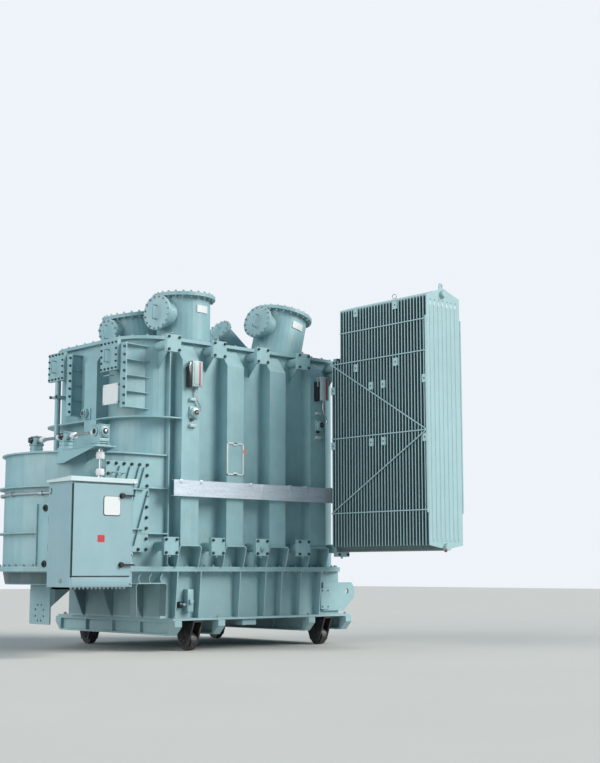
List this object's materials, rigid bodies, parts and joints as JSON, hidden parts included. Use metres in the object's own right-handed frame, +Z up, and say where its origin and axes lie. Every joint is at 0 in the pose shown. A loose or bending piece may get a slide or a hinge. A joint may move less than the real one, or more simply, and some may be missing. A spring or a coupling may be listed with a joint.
{
  "type": "oil-filled power transformer",
  "caption": "Form-fit transformer tank on skids and rollers, with box stiffeners, turrets, one panel radiator, a control cabinet and a tap-changer drive.",
  "frame": {"origin": "middle of the object's box, at the level of the rollers' treads", "axes": "+X along the tank away from its tap-changer end, +Y from the radiator side to the back, +Z up"},
  "size_m": [4.225, 3.9006, 3.8362],
  "materials": {
    "tank_paint": "semi-gloss grey-green enamel, site dust and small scuffs",
    "cabinet_paint": "smooth grey-green powder coat",
    "zinc_sheet": "galvanised sheet, matte with soft streaks",
    "black_steel": "black painted steel with rubbed treads",
    "black_plastic": "moulded black plastic",
    "bright_steel": "bright turned steel"
  },
  "bodies": {
    "tank": {"bell_tank": "tank_paint", "tap_chamber": "tank_paint", "tank_cover": "tank_paint", "base_tank": "tank_paint", "chamber_tray": "tank_paint", "skid_beam_1": "tank_paint", "skid_beam_2": "tank_paint", "skid_beam_3": "tank_paint", "skid_beam_4": "tank_paint", "bogie_left_front": "black_steel", "bogie_left_back": "black_steel", "bogie_right_front": "black_steel", "bogie_right_back": "black_steel", "front_stiffener_1": "tank_paint", "front_stiffener_2": "tank_paint", "front_stiffener_3": "tank_paint", "front_stiffener_4": "tank_paint", "back_stiffener_1": "tank_paint", "back_stiffener_2": "tank_paint", "back_stiffener_3": "tank_paint", "back_stiffener_4": "tank_paint", "left_stiffener": "tank_paint", "right_stiffener": "tank_paint", "radiator_bank": "tank_paint", "radiator_stays_left": "tank_paint", "radiator_stays_right": "tank_paint", "turret_left_front": "tank_paint", "turret_lid_left_front": "tank_paint", "hand_hole_cover_left_front": "tank_paint", "turret_right_front": "tank_paint", "turret_lid_right_front": "tank_paint", "hand_hole_cover_right_front": "tank_paint", "turret_left_back": "tank_paint", "turret_lid_left_back": "tank_paint", "hand_hole_cover_left_back": "tank_paint", "turret_right_back": "tank_paint", "hand_hole_cover_right_back": "tank_paint", "end_blank_front": "tank_paint", "end_blank_back": "tank_paint", "end_rib_front": "tank_paint", "end_rib_back": "tank_paint", "chamber_hatch": "tank_paint", "cable_tray": "zinc_sheet", "cabinet_shell": "cabinet_paint", "cabinet_roof": "cabinet_paint", "cabinet_bracket": "tank_paint", "drive_bracket": "tank_paint", "drive_gearbox": "tank_paint", "drive_head_front": "tank_paint", "drive_head_back": "tank_paint"},
    "cabinet_door": {"cabinet_door": "cabinet_paint"},
    "handle_lower": {"door_handle_lower": "black_plastic"},
    "handle_upper": {"door_handle_upper": "black_plastic"},
    "roller_left_front": {"roller_left_front": "black_steel"},
    "roller_left_back": {"roller_left_back": "black_steel"},
    "roller_right_front": {"roller_right_front": "black_steel"},
    "roller_right_back": {"roller_right_back": "black_steel"},
    "drive_rod_upright": {"drive_rod_upright": "bright_steel"},
    "drive_rod_front": {"drive_rod_front": "bright_steel"},
    "drive_rod_back": {"drive_rod_back": "bright_steel"}
  },
  "joints": [
    {"name": "cabinet_door_hinge", "type": "hinge", "parent": "tank", "child": "cabinet_door", "pos_m": [-2.0725, -0.65725, 0.765], "axis": [0, 0, -1], "range_deg": [0, 115]},
    {"name": "handle_lower_turn", "type": "hinge", "parent": "cabinet_door", "child": "handle_lower", "pos_m": [-1.5375, -0.65725, 0.8676], "axis": [0, 1, 0], "range_deg": [0, 90]},
    {"name": "handle_upper_turn", "type": "hinge", "parent": "cabinet_door", "child": "handle_upper", "pos_m": [-1.5375, -0.65725, 1.52168], "axis": [0, 1, 0], "range_deg": [0, 90]},
    {"name": "roller_left_front_spin", "type": "hinge", "parent": "tank", "child": "roller_left_front", "pos_m": [-0.30205, -0.09975, 0.1], "axis": [1, 0, 0], "continuous": true},
    {"name": "roller_left_back_spin", "type": "hinge", "parent": "tank", "child": "roller_left_back", "pos_m": [-0.30205, 1.75025, 0.1], "axis": [1, 0, 0], "continuous": true},
    {"name": "roller_right_front_spin", "type": "hinge", "parent": "tank", "child": "roller_right_front", "pos_m": [1.52811, -0.09975, 0.1], "axis": [1, 0, 0], "continuous": true},
    {"name": "roller_right_back_spin", "type": "hinge", "parent": "tank", "child": "roller_right_back", "pos_m": [1.52811, 1.75025, 0.1], "axis": [1, 0, 0], "continuous": true},
    {"name": "drive_upright_spin", "type": "hinge", "parent": "tank", "child": "drive_rod_upright", "pos_m": [-1.6025, -0.36975, 1.6855], "axis": [0, 0, 1], "continuous": true},
    {"name": "drive_front_spin", "type": "hinge", "parent": "tank", "child": "drive_rod_front", "pos_m": [-1.6025, -0.30925, 2.1526], "axis": [0, 1, 0], "continuous": true},
    {"name": "drive_back_spin", "type": "hinge", "parent": "tank", "child": "drive_rod_back", "pos_m": [-1.6025, 0.31575, 2.1526], "axis": [0, 1, 0], "continuous": true}
  ],
  "couplings": [
    {"joint": "drive_front_spin", "follows": "drive_upright_spin", "ratio": 1},
    {"joint": "drive_back_spin", "follows": "drive_upright_spin", "ratio": 1}
  ]
}
